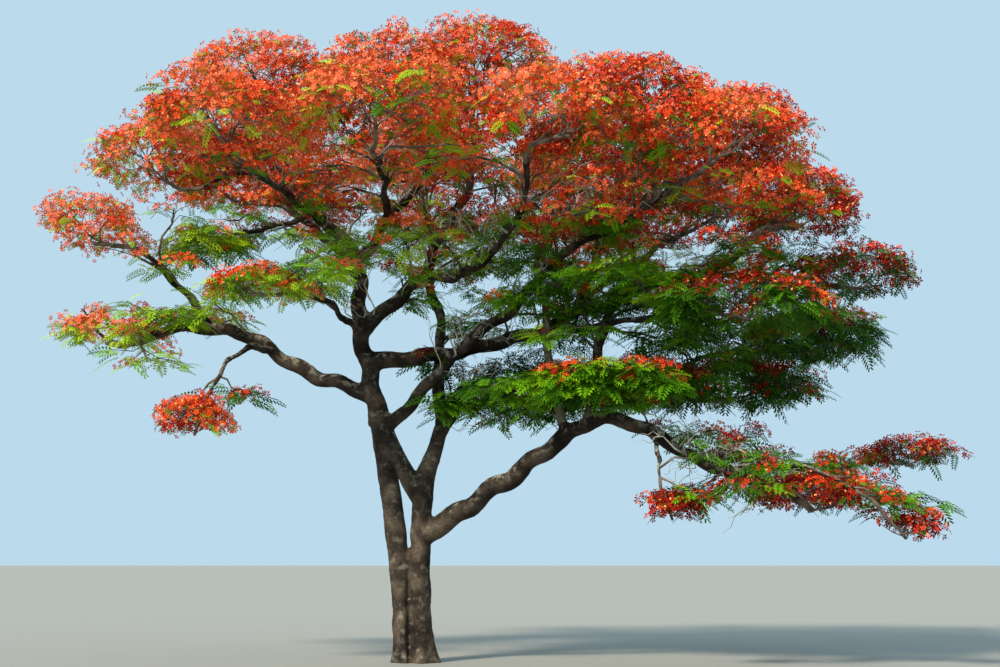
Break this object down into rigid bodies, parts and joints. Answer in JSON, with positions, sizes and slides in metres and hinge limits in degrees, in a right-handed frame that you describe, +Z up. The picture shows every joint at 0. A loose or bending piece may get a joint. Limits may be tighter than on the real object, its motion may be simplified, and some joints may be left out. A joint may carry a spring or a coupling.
{
  "type": "flame tree",
  "caption": "Mature flame tree in bloom: twin trunk, long arching boughs and a broad umbrella crown of feathery leaves under orange-red blossom.",
  "frame": {"origin": "centre of the trunk's flat cut at ground level", "axes": "+Z up, +X to the right of the front view, along the width of the crown, +Y away from the front"},
  "size_m": [17.6888, 11.613, 12.3635],
  "materials": {
    "bark": "rough",
    "foliage": "satin",
    "blossom": "matte"
  },
  "bodies": {
    "root": {"trunk": "bark", "bough_top_left": "bark", "bough_top_middle_left": "bark", "bough_left_shoulder": "bark", "bough_left_layer": "bark", "bough_low_left": "bark", "bough_left_rim": "bark", "bough_left_hanging": "bark", "bough_front_left_layer": "bark", "bough_top_middle": "bark", "bough_front_middle_right": "bark", "bough_top_middle_right": "bark", "bough_front_right": "bark", "bough_right_layer": "bark", "bough_top_right": "bark", "bough_right_inner": "bark", "bough_back_middle_left": "bark", "bough_low_right": "bark", "bough_back_middle_right": "bark", "bough_right_shoulder": "bark", "bough_right_rim": "bark", "bough_low_right_end": "bark", "bough_low_right_hanging": "bark", "bough_far_right": "bark", "bough_centre_layer": "bark", "bough_right_back_layer": "bark", "bough_back_left": "bark", "bough_front_left": "bark", "bough_front_middle": "bark", "bough_back_right": "bark", "foliage_top_left": "blossom", "foliage_top_middle_left": "blossom", "foliage_left_shoulder": "blossom", "foliage_left_layer": "foliage", "foliage_low_left": "blossom", "foliage_left_rim": "blossom", "foliage_left_hanging": "blossom", "foliage_front_left_layer": "blossom", "foliage_top_middle": "blossom", "foliage_front_middle_right": "blossom", "foliage_top_middle_right": "blossom", "foliage_front_right": "blossom", "foliage_right_layer": "foliage", "foliage_top_right": "blossom", "foliage_right_inner": "foliage", "foliage_back_middle_left": "blossom", "foliage_low_right": "blossom", "foliage_back_middle_right": "blossom", "foliage_right_shoulder": "blossom", "foliage_right_rim": "blossom", "foliage_low_right_end": "blossom", "foliage_low_right_hanging": "blossom", "foliage_far_right": "blossom", "foliage_centre_layer": "foliage", "foliage_right_back_layer": "foliage", "foliage_back_left": "blossom", "foliage_front_left": "blossom", "foliage_front_middle": "blossom", "foliage_back_right": "blossom"}
  },
  "joints": []
}
